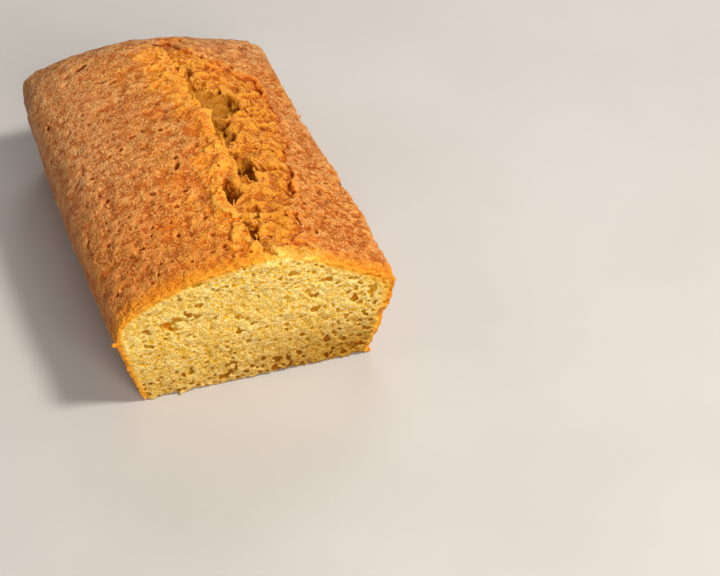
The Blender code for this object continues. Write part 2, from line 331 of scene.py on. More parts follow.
# ---- relief ---------------------------------------------------------------
n6, n3, n16, n11 = noise(6.5, 31), noise(3.0, 32), noise(1.7, 33), noise(1.15, 34)
crumbly = np.clip(0.40 + 0.60 * step(40.0, -30.0, py) + 0.25 * noise2(14.0, 41), 0.25, 1.15)
crumbly = np.maximum(crumbly * (0.62 + 0.38 * step(-56.0, -18.0, px - 0.25 * (py + 93.0))), 0.80 * warm) * step(-66.0, -50.0, px)
crumbly = np.clip(crumbly, 0.22, 1.2).astype(F)[:, :, None]
tz = np.clip(bed + torn, 0.0, 1.0).astype(F)[:, :, None]
dents = np.maximum(-n16 - F(0.75), 0.0)
top += -(0.20 * n6 + (0.09 + 0.15 * crumbly) * n3) - (0.07 + 0.22 * crumbly) * np.maximum(n16, -0.9) - 0.17 * crumbly * np.maximum(n11, -0.9)
top += (0.05 + 0.20 * crumbly) * dents
top += np.maximum(tz, warm.astype(F)[:, :, None] * F(0.8)) * (-0.16 * n6 - 0.06 * n3 - 0.02 * n16) * step(-95.0, -76.0, gy).astype(F)[None, :, None]
top += torn.astype(F)[:, :, None] * (-0.26 * n3 - 0.14 * n16)
walls += -(0.18 * n6 + 0.12 * n3 + 0.11 * n16 + 0.08 * n11)
walls += 0.10 * dents
under += -0.04 * n3 - 0.04 * n16

cut = (CUT_Y - Y) + 0.10 * n6 + 0.10 * n3 + 0.0 * X
body = smax(top, walls, F(2.2))
del top
body = smax(body, under, F(1.6))
# edges of the cut are crumbly and a little broken
edge_w = step(9.0, 0.0, gz).astype(F)[None, None, :]
body += np.where(Y < CUT_Y + 4.0, (0.30 + 0.55 * edge_w) * np.maximum(n16, -0.3) * F(0.5), F(0.0)).astype(F)
field = smax(body, cut.astype(F), F(0.5))
del body, cut


def blurred(f, cells):
    """Box blur along the three axes."""
    for axis in range(3):
        n = f.shape[axis]
        total = np.cumsum(f, axis=axis, dtype=np.float64)
        hi = np.minimum(np.arange(n) + cells, n - 1)
        lo = np.maximum(np.arange(n) - cells - 1, 0)
        f = ((np.take(total, hi, axis) - np.take(total, lo, axis)) / (2 * cells + 1)).astype(F)
    return f


def block(c, reach):
    out = []
    for g, a, r in zip((gx, gy, gz), c, reach):
        i, j = np.searchsorted(g, (a - r, a + r))
        out.append(slice(max(0, i - 1), min(len(g), j + 1)))
    return tuple(out)


def ball(c, r, rot, rough, jitter, margin=1.4):
    """Distance to a rough ellipsoid, over a small block of the grid."""
    reach = max(r) * margin + 1.0
    b = block(c, (reach,) * 3)
    x, y, z = gx[b[0]] - c[0], gy[b[1]] - c[1], gz[b[2]] - c[2]
    if rot is None:
        q = np.sqrt((x[:, None, None] / r[0]) ** 2 + (y[None, :, None] / r[1]) ** 2 + (z[None, None, :] / r[2]) ** 2)
    else:
        x, y, z = np.meshgrid(x, y, z, indexing="ij")
        q = np.sqrt(sum(((rot[k][0] * x + rot[k][1] * y + rot[k][2] * z) / r[k]) ** 2 for k in range(3)))
    d = (q - 1.0) * min(r)
    if jitter:
        d = d + jitter * rough[b]
    return b, d.astype(F)


def dig(c, r, rot=None, rough=None, jitter=0.0, k=0.25):
    b, d = ball(c, r, rot, rough, jitter)
    field[b] = smax(field[b], -d, F(k))


def heap(c, r, rot=None, rough=None, jitter=0.0, k=0.4):
    b, d = ball(c, r, rot, rough, jitter)
    field[b] = -smax(-field[b], -d, F(k))


def turn(az=0.0, el=0.0):
    """Axes of an ellipsoid turned by az in plan, then tipped by el."""
    return np.array((Matrix.Rotation(math.radians(el), 3, "Y") @ Matrix.Rotation(math.radians(-az), 3, "Z")))


rng = np.random.default_rng(7)
hx = lambda x, y: float(height[np.abs(gx - x).argmin(), np.abs(gy - y).argmin()])

# ---- torn bed: granular lumps, then holes ----------------------------------
for _ in range(3000):
    y = rng.uniform(-92.0, 80.0)
    x = rng.uniform(along(LEFT_EDGE, y) + 1.0, along(RIGHT_EDGE, y))
    i, j = np.abs(gx - x).argmin(), np.abs(gy - y).argmin()
    if rng.random() > (0.55 * warm[i, j] + 0.45 * max(bed[i, j], torn[i, j])) * (0.35 if y < -82.0 else 1.0):
        continue
    r = rng.uniform(0.45, 0.90) * (1.35 if rng.random() < 0.10 else 1.0)
    rr_ = (r * rng.uniform(0.8, 1.5), r * rng.uniform(0.8, 1.2), r * rng.uniform(0.7, 1.0))
    heap((x, y, height[i, j] - r * rng.uniform(0.35, 0.9)), rr_, turn(rng.uniform(0, 180)), n11, 0.14, 0.45)
for _ in range(70):
    y = rng.uniform(-88.0, 74.0)
    x = rng.uniform(along(LEFT_EDGE, y) + 5.0, along(RIGHT_EDGE, y))
    i, j = np.abs(gx - x).argmin(), np.abs(gy - y).argmin()
    if max(bed[i, j], torn[i, j]) < 0.5:
        continue
    r = rng.uniform(0.35, 0.85)
    dig((x, y, height[i, j] + r * rng.uniform(-0.5, 0.3)), (r, r * rng.uniform(0.8, 1.8), r), turn(rng.uniform(0, 180)), n11, 0.12)
# (x, y, half sizes, depth of the middle below the surface, turn)
HOLES = (
    (11.8, -8.6, (1.8, 3.6, 3.4), 0.0, -12), (15.6, -34.6, (3.0, 3.2, 3.4), 0.0, 20), (12.6, -22.0, (1.8, 4.0, 2.6), 0.0, 0),
    (5.0, -45.4, (2.2, 4.6, 3.6), 0.0, 8), (4.9, -69.0, (1.5, 2.6, 2.8), 0.0, 0), (7.8, 27.0, (1.6, 4.4, 2.4), 0.0, -10),
    (14.6, 7.0, (1.8, 3.6, 2.4), 0.0, -20), (25.6, 26.6, (1.5, 1.6, 2.2), 0.2, 0), (17.4, 61.2, (3.2, 1.4, 2.0), 0.2, 10),
    (34.8, 10.8, (2.6, 0.9, 1.8), 0.3, -22), (29.2, 13.4, (1.8, 0.9, 1.6), 0.3, -10), (20.5, 40.0, (2.6, 1.2, 1.8), 0.2, 20),
    (29.6, -43.5, (0.8, 2.4, 1.0), 0.2, 12), (27.6, -64.5, (0.7, 2.2, 0.9), 0.2, 5), (6.0, 55.0, (1.4, 3.0, 1.8), 0.2, 5),
    (2.4, -28.4, (0.8, 1.4, 1.4), 0.2, 0), (11.0, -62.0, (1.8, 2.0, 1.6), 0.2, 10), (21.0, -27.0, (1.2, 2.4, 1.6), 0.2, 15),
)
for x, y, r, d, az in HOLES:
    dig((x, y, hx(x, y) - d), r, turn(az), n3, 0.35, 0.5)

# no thin threads inside the open crack
hush = (warm > 0.3).astype(F)[:, :, None] * step(0.3, 1.5, height[:, :, None].astype(F) - Z).astype(F)
field += hush * (blurred(field, 2) - field) * F(0.85)
del hush

# ---- baked top: slits and pinholes -----------------------------------------
SLITS = (
    (-36.5, 74.0, (3.2, 0.9, 1.6), 35), (-31.0, 58.0, (3.6, 0.55, 1.1), -12), (-25.0, 55.5, (4.0, 0.6, 1.1), 14),
    (-59.0, 45.6, (0.8, 1.6, 1.2), 0), (-26.7, 9.9, (1.5, 0.5, 1.3), 20), (-13.8, -20.2, (0.7, 2.6, 1.4), -20),
    (-49.6, -7.1, (0.7, 1.0, 1.3), 0), (-46.3, -24.7, (0.8, 0.7, 1.2), 0), (-20.2, -44.7, (1.3, 0.8, 1.4), 35),
    (-62.2, 25.8, (0.6, 0.9, 1.0), 0), (-40.0, 79.0, (1.1, 0.7, 1.0), 10), (-22.0, 12.0, (0.5, 1.4, 1.3), 8),
    (-46.0, 66.0, (1.4, 0.5, 0.9), 20), (-28.0, -33.0, (1.2, 0.6, 1.2), -30), (-14.0, -36.0, (0.9, 0.7, 1.1), 0),
    (-33.0, -52.0, (1.0, 0.5, 1.1), 40), (-40.0, -61.0, (1.4, 0.5, 1.2), -15), (-24.0, -62.0, (0.8, 1.1, 1.2), 10),
    (-52.0, -49.0, (0.6, 0.8, 1.1), 0), (-11.0, -57.0, (1.6, 0.6, 1.2), 28), (47.0, -30.0, (0.7, 1.7, 1.1), 15),
    (51.0, -58.0, (0.9, 0.6, 1.0), 0), (40.0, -74.0, (1.5, 0.6, 1.1), -30), (14.0, 82.0, (2.4, 0.7, 1.1), 5),
)
for x, y, r, az in SLITS:
    dig((x, y, hx(x, y)), tuple(1.25 * k + 0.12 for k in r), turn(az), n11, 0.14)
for _ in range(420):
    x, y = rng.uniform(-62.0, 58.0), rng.uniform(-92.0, 92.0)
    i, j = np.abs(gx - x).argmin(), np.abs(gy - y).argmin()
    if warm[i, j] > 0.6 or rng.random() > crumbly[i, j, 0]:
        continue
    r = rng.uniform(0.42, 0.66) if rng.random() < 0.6 else rng.uniform(0.66, 0.88)
    dig((x, y, height[i, j] + rng.uniform(-0.2, 0.2)), (r * rng.uniform(0.9, 1.9), r, r * rng.uniform(1.3, 2.2)), turn(rng.uniform(0, 180)), n11, 0.12, 0.15)
# grains baked onto the crumbly part of the crust
for _ in range(1700):
    x, y = rng.uniform(-56.0, 58.0), rng.uniform(-93.0, 70.0)
    i, j = np.abs(gx - x).argmin(), np.abs(gy - y).argmin()
    if bed[i, j] > 0.3 or torn[i, j] > 0.3 or rng.random() > 0.9 * float(crumbly[i, j, 0]) ** 2.2:
        continue
    r = rng.uniform(0.45, 0.95)
    heap((x, y, height[i, j] - r * rng.uniform(0.2, 0.6)), (r * rng.uniform(0.8, 1.3), r * rng.uniform(0.8, 1.3), r * 0.8), turn(rng.uniform(0, 180)), n11, 0.1, 0.25)

# ---- walls: small pits from the tin side -----------------------------------
for _ in range(520):
    side = rng.choice(("l", "r", "b"), p=(0.36, 0.36, 0.28))
    z = rng.uniform(2.0, 38.0)
    le = min(1.0, z / WALL_BEND); le += 0.16 * le * (1 - le)
    r = rng.uniform(0.35, 0.9)
    if side == "b":
        x, y = rng.uniform(-46.0, 44.0), FAR_Y - END_TAPER + END_TAPER * le
    else:
        y = rng.uniform(-92.0, 88.0)
        v = (y - CUT_Y) / (FAR_Y - CUT_Y)
        b0 = (-BASE_HALF if side == "l" else BASE_HALF) + BASE_DRIFT * v
        x = b0 + ((rim_left(y) if side == "l" else rim_right(y)) - b0) * le
    dig((x, y, z), (r, r * rng.uniform(0.8, 1.8), r * rng.uniform(0.7, 1.2)), turn(rng.uniform(0, 180)), n11, 0.08, 0.2)

before_pores = field.copy()

# ---- the cut: open crumb ----------------------------------------------------
def in_cut(x, z, inset):
    """Whether (x, z) lies in the cut face, at least inset inside its edge."""
    i = np.abs(gx - x).argmin(); k = np.abs(gz - z).argmin(); j = np.abs(gy - (CUT_Y + 2.0)).argmin()
    return skin0[i, j, k] < -inset and z > inset

n08 = noise(0.95, 35)
front = slice(0, int(np.searchsorted(gy, CUT_Y + 5.0)))
field[:, front] += (0.17 * n08 + 0.11 * n16)[:, front] * step(CUT_Y + 4.5, CUT_Y + 1.5, gy[front]).astype(F)[None, :, None]
for _ in range(330):
    x, z = rng.uniform(-61.0, 63.0), rng.uniform(0.6, 63.0)
    if not in_cut(x, z, 0.7):
        continue
    r = rng.uniform(0.45, 0.75) if rng.random() < 0.85 else rng.uniform(0.75, 1.1)
    dig((x, CUT_Y + rng.uniform(-0.2, 0.3), z), (r * rng.uniform(0.9, 1.3), r * 1.1, r * rng.uniform(0.85, 1.1)), turn(0, rng.uniform(-60, 60)), n08, 0.20, 0.30)
for _ in range(230):                             # coarser towards the bottom and the right
    x, z = (rng.uniform(-50.0, 54.0), 0.4 + 11.0 * rng.random() ** 1.6) if rng.random() < 0.65 else (rng.uniform(34.0, 60.0), rng.uniform(2.0, 44.0))
    if in_cut(x, z, 0.4):
        r = rng.uniform(0.55, 1.0)
        dig((x, CUT_Y + rng.uniform(-0.2, 0.3), z), (r * rng.uniform(0.9, 1.4), r * 1.1, r * rng.uniform(0.8, 1.0)), turn(0, rng.uniform(-60, 60)), n08, 0.22, 0.30)
# (x, z, half sizes, tilt in the face)
BIG_PORES = (
    (-37.9, 38.2, (3.4, 2.2, 2.1), 24), (-35.2, 36.6, (2.0, 1.6, 1.3), 0), (-27.4, 41.9, (3.2, 1.4, 1.0), 22), (-32.3, 40.4, (2.6, 1.0, 0.9), 20),
    (-47.6, 37.5, (1.8, 1.4, 1.3), 10), (-46.7, 29.6, (1.5, 1.2, 0.9), 20), (-7.2, 35.1, (0.9, 1.1, 1.0), 0), (-7.0, 27.8, (1.5, 1.2, 1.2), 0),
    (17.4, 52.8, (1.7, 1.2, 1.1), 10), (2.1, 45.2, (1.1, 1.0, 0.9), 0), (9.1, 7.2, (1.9, 1.5, 1.3), 10), (-22.3, 13.9, (0.9, 0.9, 0.8), 0),
    (-41.6, 22.0, (0.9, 0.9, 0.7), 0), (-13.8, 4.7, (1.3, 1.0, 0.8), 0), (17.4, 16.5, (2.0, 0.9, 0.7), 5), (7.8, 0.9, (1.5, 1.2, 1.0), 0),
    (-23.6, 45.5, (0.9, 0.9, 0.8), 0), (32.4, 45.9, (2.3, 1.4, 1.1), 10), (51.9, 35.3, (1.9, 1.7, 2.6), 15),
    (44.4, 32.8, (1.9, 1.9, 1.9), 0), (26.5, 38.5, (1.5, 1.0, 1.0), 0), (27.0, 31.0, (1.8, 1.3, 1.2), -20), (11.6, 41.3, (0.8, 0.8, 0.8), 0),
    (37.0, 27.4, (0.7, 0.8, 0.8), 0), (37.9, 17.0, (1.6, 1.2, 0.9), 15), (31.8, 12.2, (1.5, 1.4, 1.9), 20), (-0.6, 30.0, (1.2, 0.9, 0.8), 0),
    (14.2, 24.3, (0.8, 0.9, 1.1), 0), (46.3, 5.9, (2.6, 1.6, 1.2), 20), (19.3, 47.3, (1.2, 0.9, 0.8), 0), (7.7, 2.7, (1.3, 1.1, 1.0), 0)
)
for x, z, r, tilt in BIG_PORES:
    dig((x, CUT_Y + 0.2, z), r, turn(0, -tilt), n11, 0.45, 0.5)
# the cut's bottom and right edges have lost crumbs
for _ in range(95):
    t = rng.random()
    if t < 0.52:
        c = (rng.uniform(-46.0, 50.0), CUT_Y + rng.uniform(-0.4, 0.8), rng.uniform(-0.6, 0.7))
        r = rng.uniform(0.5, 1.25)
    elif t < 0.86:
        z = rng.uniform(0.0, 37.0)
        le = min(1.0, z / WALL_BEND); le += 0.16 * le * (1 - le)
        c = (BASE_HALF + (RIM_RIGHT - BASE_HALF) * le + rng.uniform(-0.6, 0.9), CUT_Y + rng.uniform(-0.6, 1.2), z)
        r = rng.uniform(0.6, 1.7)
    else:
        z = rng.uniform(0.0, 36.0)
        le = min(1.0, z / WALL_BEND); le += 0.16 * le * (1 - le)
        c = (-BASE_HALF - (RIM_LEFT - BASE_HALF) * le + rng.uniform(-0.4, 0.3), CUT_Y + rng.uniform(-0.4, 0.4), z)
        r = rng.uniform(0.4, 0.8)
    dig(c, (r * rng.uniform(0.8, 1.6), r, r * rng.uniform(0.8, 1.5)), None, n16, 0.2, 0.3)
for c, r in (((57.6, CUT_Y + 0.2, 20.5), (3.0, 2.6, 4.6)), ((55.0, CUT_Y + 0.0, 8.5), (2.2, 2.0, 3.2)), ((-49.6, CUT_Y - 0.2, 3.2), (1.3, 1.0, 1.1))):
    dig(c, r, None, n16, 0.45, 0.5)
# crumbs that still hang on the cut's edges
for c, rs in (((-60.9, CUT_Y + 0.3, 34.2), (1.0, 0.7)), ((-34.5, CUT_Y - 0.5, 0.8), (0.9, 0.7)), ((57.2, CUT_Y + 0.6, 24.6), (1.1, 0.8, 0.7)),
              ((50.9, CUT_Y + 0.4, 3.0), (1.0, 0.8)), ((8.0, CUT_Y - 0.4, 0.6), (0.6, 0.5))):
    for k, r in enumerate(rs):
        q = (c[0] + 0.9 * math.sin(2.1 * k) * (k > 0), c[1] + 0.2 * k, c[2] + 0.8 * math.cos(1.7 * k) * (k > 0))
        heap(q, (r, r, r * 0.9), None, n08, 0.12, 0.5)

field = np.maximum(field, (-Z).astype(F))        # the underside stays flat
for axis in range(3):                            # nothing touches the grid's edge
    for end in (0, -1):
        index = [slice(None)] * 3
        index[axis] = end
        field[tuple(index)] = np.maximum(field[tuple(index)], F(0.5))


# above 0 on bumps, below 0 in hollows
bulges = blurred(np.clip(field, -1.2, 1.2), 3)
lumps = blurred(np.clip(field, -3.0, 3.0), 7)

# =====================================================================
# 3. From the grid to a mesh
# =====================================================================
def surface(f):
    """Closed surface where f is 0: one point a cell, one quad a crossed edge."""
    inside = f < 0
    n0, n1, n2 = f.shape
    count = np.zeros((n0 - 1, n1 - 1, n2 - 1), np.uint8)
    corners = [(a, b, c) for a in (0, 1) for b in (0, 1) for c in (0, 1)]
    for a, b, c in corners:
        count += inside[a:n0 - 1 + a, b:n1 - 1 + b, c:n2 - 1 + c]
    active = (count > 0) & (count < 8)
    I, J, K = np.nonzero(active)
    index = np.full(active.shape, -1, np.int32)
    index[I, J, K] = np.arange(len(I), dtype=np.int32)
    value = {c: f[I + c[0], J + c[1], K + c[2]] for c in corners}
    total, hits = np.zeros((len(I), 3)), np.zeros(len(I))
    for a in corners:
        for axis in range(3):
            if a[axis]:
                continue
            b = list(a); b[axis] = 1; b = tuple(b)
            va, vb = value[a], value[b]
            crossed = (va < 0) != (vb < 0)
            t = np.where(crossed, va / np.where(crossed, va - vb, 1.0), 0.0)
            for k in range(3):
                total[:, k] += crossed * (t if k == axis else a[k])
            hits += crossed
    local = total / hits[:, None]
    places = np.stack([g[n] + local[:, k] * (g[n + 1] - g[n]) for k, (g, n) in enumerate(((gx, I), (gy, J), (gz, K)))], axis=1)
    quads = []
    for axis in range(3):
        o1, o2 = [k for k in range(3) if k != axis]
        lo, hi = [slice(None)] * 3, [slice(None)] * 3
        lo[axis], hi[axis] = slice(0, -1), slice(1, None)
        change = inside[tuple(lo)] != inside[tuple(hi)]
        e = np.stack(np.nonzero(change), axis=1)
        e = e[(e[:, o1] > 0) & (e[:, o2] > 0) & (e[:, o1] < f.shape[o1] - 1) & (e[:, o2] < f.shape[o2] - 1)]
        cells = []
        for s1, s2 in ((-1, -1), (0, -1), (0, 0), (-1, 0)):
            c = e.copy(); c[:, o1] += s1; c[:, o2] += s2
            cells.append(index[c[:, 0], c[:, 1], c[:, 2]])
        q = np.stack(cells, axis=1)
        out = inside[e[:, 0], e[:, 1], e[:, 2]]
        if axis == 1:
            out = ~out
        q[~out] = q[~out][:, ::-1]
        quads.append(q)
    return places, np.concatenate(quads)


def biggest_piece(places, quads):
    """Drops bits that hang loose from the loaf."""
    label = np.arange(len(places))
    a = np.concatenate([quads[:, k] for k in range(4)])
    b = np.concatenate([quads[:, (k + 1) % 4] for k in range(4)])
    while True:
        low = np.minimum(label[a], label[b])
        new = label.copy()
        np.minimum.at(new, a, low)
        np.minimum.at(new, b, low)
        new = new[new]
        new = new[new]
        if np.array_equal(new, label):
            break
        label = new
    names, counts = np.unique(label, return_counts=True)
    keep = label == names[counts.argmax()]
    renumber = np.cumsum(keep) - 1
    quads = quads[keep[quads[:, 0]]]
    return places[keep], renumber[quads]


def untangle(f):
    """Fills in where two sheets would meet in one edge."""
    for _ in range(12):
        found = 0
        for axis in range(3):
            o1, o2 = [k for k in range(3) if k != axis]
            inside = f < 0
            corner = {}
            for a in (0, 1):
                for b in (0, 1):
                    index = [slice(None)] * 3
                    index[o1] = slice(a, f.shape[o1] - 1 + a)
                    index[o2] = slice(b, f.shape[o2] - 1 + b)
                    corner[a, b] = inside[tuple(index)]
            for (a, b), other in (((0, 0), (1, 0)), ((1, 0), (0, 0))):
                bad = corner[a, b] & corner[1 - a, 1 - b] & ~corner[1 - a, b] & ~corner[a, 1 - b]
                where = list(np.nonzero(bad))
                found += len(where[0])
                where[o1] = where[o1] + other[0]
                where[o2] = where[o2] + other[1]
                f[tuple(where)] = F(-0.02)
        if not found:
            break
    return f


places, quads = biggest_piece(*surface(untangle(field)))
SHIFT = (CAD_BOX[1][0] / MM - RIM_RIGHT, CAD_BOX[1][1] / MM - FAR_Y)
print("surface", len(places), len(quads))

mesh = bpy.data.meshes.new("cake")
mesh.vertices.add(len(places))
mesh.vertices.foreach_set("co", (places * MM).astype(F).ravel())
mesh.loops.add(4 * len(quads))
mesh.loops.foreach_set("vertex_index", quads.astype(np.int32).ravel())
mesh.polygons.add(len(quads))
mesh.polygons.foreach_set("loop_start", np.arange(0, 4 * len(quads), 4, dtype=np.int32))
mesh.update(calc_edges=True)
cake = bpy.data.objects.new("cake", mesh)
bpy.context.scene.collection.objects.link(cake)

MOST = 196000
thin = cake.modifiers.new("thin", "DECIMATE")
thin.ratio = min(1.0, MOST / (2.0 * len(quads)))
thin.use_collapse_triangulate = True
bpy.context.view_layer.update()
done = bpy.data.meshes.new_from_object(cake.evaluated_get(bpy.context.evaluated_depsgraph_get()))
cake.modifiers.clear()
cake.data = done
bpy.data.meshes.remove(mesh)
mesh = done
mesh.name = "cake"
mesh.shade_smooth()
print("faces", len(mesh.polygons))


# ---- what the finish needs to know at each point ------------------------------
def sample(f, p):
    out, idx, fr = 0.0, [], []
    for g, c in zip((gx, gy, gz), p.T):
        i = np.clip(np.searchsorted(g, c) - 1, 0, len(g) - 2)
        idx.append(i)
        fr.append(np.clip((c - g[i]) / (g[i + 1] - g[i]), 0.0, 1.0))
    for a in (0, 1):
        for b in (0, 1):
            if f.ndim == 2:
                out = out + f[idx[0] + a, idx[1] + b] * (fr[0] if a else 1 - fr[0]) * (fr[1] if b else 1 - fr[1])
                continue
            for c in (0, 1):
                w = (fr[0] if a else 1 - fr[0]) * (fr[1] if b else 1 - fr[1]) * (fr[2] if c else 1 - fr[2])
                out = out + f[idx[0] + a, idx[1] + b, idx[2] + c] * w
    return out


n = len(mesh.vertices)
co = np.empty(3 * n, F)
mesh.vertices.foreach_get("co", co)
pts = co.reshape(-1, 3).astype(np.float64) / MM


def attribute(name, values):
    a = mesh.attributes.new(name, "FLOAT", "POINT")
    a.data.foreach_set("value", np.ascontiguousarray(values, dtype=F))


skin = -sample(skin0, pts)                      # depth under the baked skin
wide = 1.0 + 1.3 * step(46.0, 60.0, pts[:, 0]) + 0.10 * step(-20.0, -50.0, pts[:, 0]) - 0.65 * step(-8.0, 1.0, pts[:, 0]) * step(35.0, 27.0, pts[:, 0])   # the browned rim's width
skin = np.where((skin > 0) & (pts[:, 1] < CUT_Y + 3.0), skin / wide, skin)
hollow = -sample(before_pores, pts)             # depth of a pore under the cut or crust
torn_v, warm_v = sample(torn, pts), sample(warm, pts)
sink = sample(height * 0 + drop, pts)
low = sample(height, pts) - pts[:, 2]           # below the torn bed's own surface: in a hole
rust_v = sample(rust, pts)
attribute("skin", skin)
attribute("hollow", np.clip(hollow, -1.0, 4.0))
attribute("torn", torn_v)
attribute("warm", sample(warm_look, pts))
attribute("sink", np.clip(sink, -1.0, 9.0))
# painted shade in the torn zone's holes: depth below the bed's own surface
attribute("hole_shade", np.clip(low, -2.0, 9.0) * (warm_v > 0.3))
# painted shade in pinholes and slits: how deep a point lies under the baked skin
attribute("pinhole_shade", np.clip(-sample(skin0, pts), 0.0, 3.0) * (warm_v < 0.45) * (pts[:, 1] > CUT_Y + 3.0) * step(1.5, 3.0, pts[:, 2]))
attribute("ledge", step(3.0, 11.0, pts[:, 0]) * step(35.0, 26.0, pts[:, 0]) * step(40.0, 48.0, pts[:, 2]))
attribute("bed", sample(bed, pts))
attribute("rust", np.maximum(rust_v, np.exp(-((pts[:, 0] + 49.0) ** 2 + (pts[:, 2] - 1.0) ** 2) / 3.4 ** 2) * (pts[:, 1] < CUT_Y + 4.0)))
attribute("bulge", np.clip(sample(bulges, pts) / 0.22, -2.0, 2.0))
attribute("lump", np.clip((sample(lumps, pts) - 0.06) / 0.45, -2.0, 2.0))
attribute("behind", pts[:, 1] - CUT_Y)
attribute("height", pts[:, 2])
# painted shade on the cut: darker towards the bottom, most towards the right
attribute("cut_painted_shade", step(36.0, 3.0, pts[:, 2]) * (0.40 + 0.60 * step(-25.0, 36.0, pts[:, 0])))
# painted sheen: paler, bluer crust on the left and towards the far end
attribute("painted_sheen", np.maximum(step(-12.0, -56.0, pts[:, 0]), 0.8 * step(62.0, 92.0, pts[:, 1])))
attribute("ruddy", step(105.0, 20.0, pts[:, 1] - CUT_Y) * (0.30 + 0.70 * step(22.0, -15.0, pts[:, 0])))
attribute("wall", np.clip(sample(whole, pts) - pts[:, 2], 0.0, 60.0))

# ---- the map that a bake uses: six sides laid out flat ---------------------------
tri = np.empty(3 * len(mesh.polygons), np.int32)
mesh.loops.foreach_get("vertex_index", tri)
tri = tri.reshape(-1, 3)
mid = pts[tri].mean(axis=1)
side_top = sample(np.asarray(whole), mid) - mid[:, 2]
wall_d = sample(walls, mid)
yc = mid[:, 1] - CUT_Y
chart = np.full(len(mid), 0)                                   # 0 top
chart[(wall_d > -2.6) & (side_top > 5.5) & (mid[:, 0] < 0)] = 2  # left wall
chart[(wall_d > -2.6) & (side_top > 5.5) & (mid[:, 0] >= 0)] = 3
cf = np.abs(mid[:, 0]) < 42.0
chart[(mid[:, 1] > 60.0) & cf & (wall_d > -2.6) & (side_top > 5.5)] = 4  # far end
far_mid = (mid[:, 1] - (FAR_Y - END_TAPER * (1 - np.clip(mid[:, 2] / WALL_BEND, 0, 1))))
chart[(far_mid > -3.0) & (side_top > 5.5) & (np.abs(mid[:, 0]) < 52.0)] = 4
chart[(mid[:, 2] < 0.6) & (yc > 0.7)] = 5                                   # underside
chart[(yc < 2.6) & (sample(skin0, mid) < -0.7)] = 1                         # cut
S = 1.0 / 262.0
uvs = np.empty((len(tri), 3, 2))
P = pts[tri]
x0, y0 = -66.0, -95.0
lay = {
    0: lambda q: (0.004 + (q[..., 0] - x0) * S, 0.004 + (q[..., 1] - y0) * S),
    2: lambda q: (0.510 + q[..., 2] * S, 0.004 + (q[..., 1] - y0) * S),
    3: lambda q: (0.666 + q[..., 2] * S, 0.004 + (q[..., 1] - y0) * S),
    5: lambda q: (0.832 + (q[..., 0] + 58.0) * 0.00142, 0.004 + (q[..., 1] - y0) * 0.0036),
    1: lambda q: (0.004 + (q[..., 0] - x0) * S, 0.772 + q[..., 2] * 0.0034),
    4: lambda q: (0.510 + (q[..., 0] - x0) * 0.0036, 0.775 + q[..., 2] * 0.0044),
}
for k, rule in lay.items():
    m = chart == k
    u, v = rule(P[m])
    uvs[m, :, 0], uvs[m, :, 1] = u, v
layer = mesh.uv_layers.new(name="OFBake")
layer.data.foreach_set("uv", np.clip(uvs, 0.0, 1.0).astype(F).ravel())

# into the frame's place
pts[:, 0] += SHIFT[0]
pts[:, 1] += SHIFT[1]
pts[:, 2] = np.maximum(pts[:, 2], 0.0)
mesh.vertices.foreach_set("co", (pts * MM).astype(F).ravel())
mesh.update()
del field, bulges, lumps, before_pores, skin0, walls, under, n6, n3, n16, n11, n08


